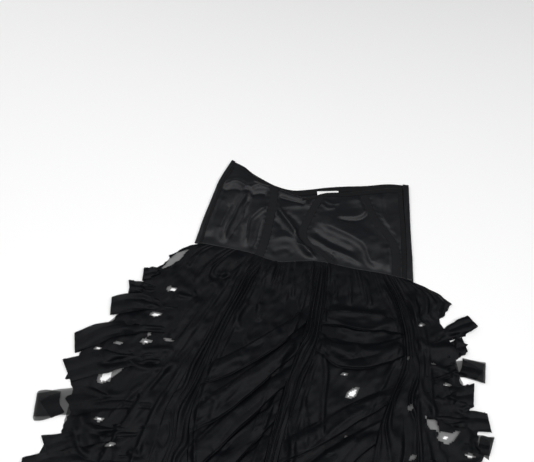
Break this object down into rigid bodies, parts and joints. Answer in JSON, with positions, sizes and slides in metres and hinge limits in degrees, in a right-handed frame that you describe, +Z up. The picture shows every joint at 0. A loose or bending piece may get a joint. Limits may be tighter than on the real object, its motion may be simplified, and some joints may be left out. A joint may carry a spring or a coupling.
{
  "type": "strapless ruffle dress laid flat",
  "caption": "Strapless dress laid flat: boned satin bodice, gathered chiffon skirt with draped swags, folded side strips and open cutwork.",
  "frame": {"origin": "middle of the footprint's bounding box, on the ground under the dress", "axes": "+X across the laid dress to its right as seen from above, +Y from the hem to the neck, +Z up out of the front"},
  "size_m": [0.8472, 0.781, 0.0167],
  "materials": {
    "satin": "black satin with a soft sheen and creases",
    "boning_tape": "matte black tape over the boning",
    "binding": "matte black velvet-like binding",
    "label": "plain white woven label, blank",
    "chiffon": "thin matte black chiffon, see-through in one layer"
  },
  "bodies": {
    "root": {"bodice_front": "satin", "bodice_back": "satin", "binding_front": "binding", "binding_back": "binding", "channel_left": "boning_tape", "channel_middle": "boning_tape", "channel_right": "boning_tape", "side_band_left": "binding", "side_band_right": "binding", "label_blank": "label", "skirt_front": "chiffon", "skirt_back": "chiffon", "swag_middle_1": "chiffon", "swag_middle_2": "chiffon", "swag_middle_3": "chiffon", "swag_middle_4": "chiffon", "swag_middle_5": "chiffon", "swag_middle_6": "chiffon", "swag_right_1": "chiffon", "swag_right_2": "chiffon", "swag_right_3": "chiffon", "swag_right_4": "chiffon", "swag_right_5": "chiffon", "swag_right_6": "chiffon", "strip_left_01": "chiffon", "strip_left_02": "chiffon", "strip_left_03": "chiffon", "strip_left_04": "chiffon", "strip_left_05": "chiffon", "strip_left_06": "chiffon", "strip_left_07": "chiffon", "strip_left_08": "chiffon", "strip_left_09": "chiffon", "strip_left_10": "chiffon", "strip_right_01": "chiffon", "strip_right_02": "chiffon", "strip_right_03": "chiffon", "strip_right_04": "chiffon", "strip_right_05": "chiffon", "strip_right_06": "chiffon", "strip_right_07": "chiffon", "strip_right_08": "chiffon", "strip_right_09": "chiffon", "strip_right_10": "chiffon", "strip_right_11": "chiffon", "strip_right_12": "chiffon"}
  },
  "joints": []
}
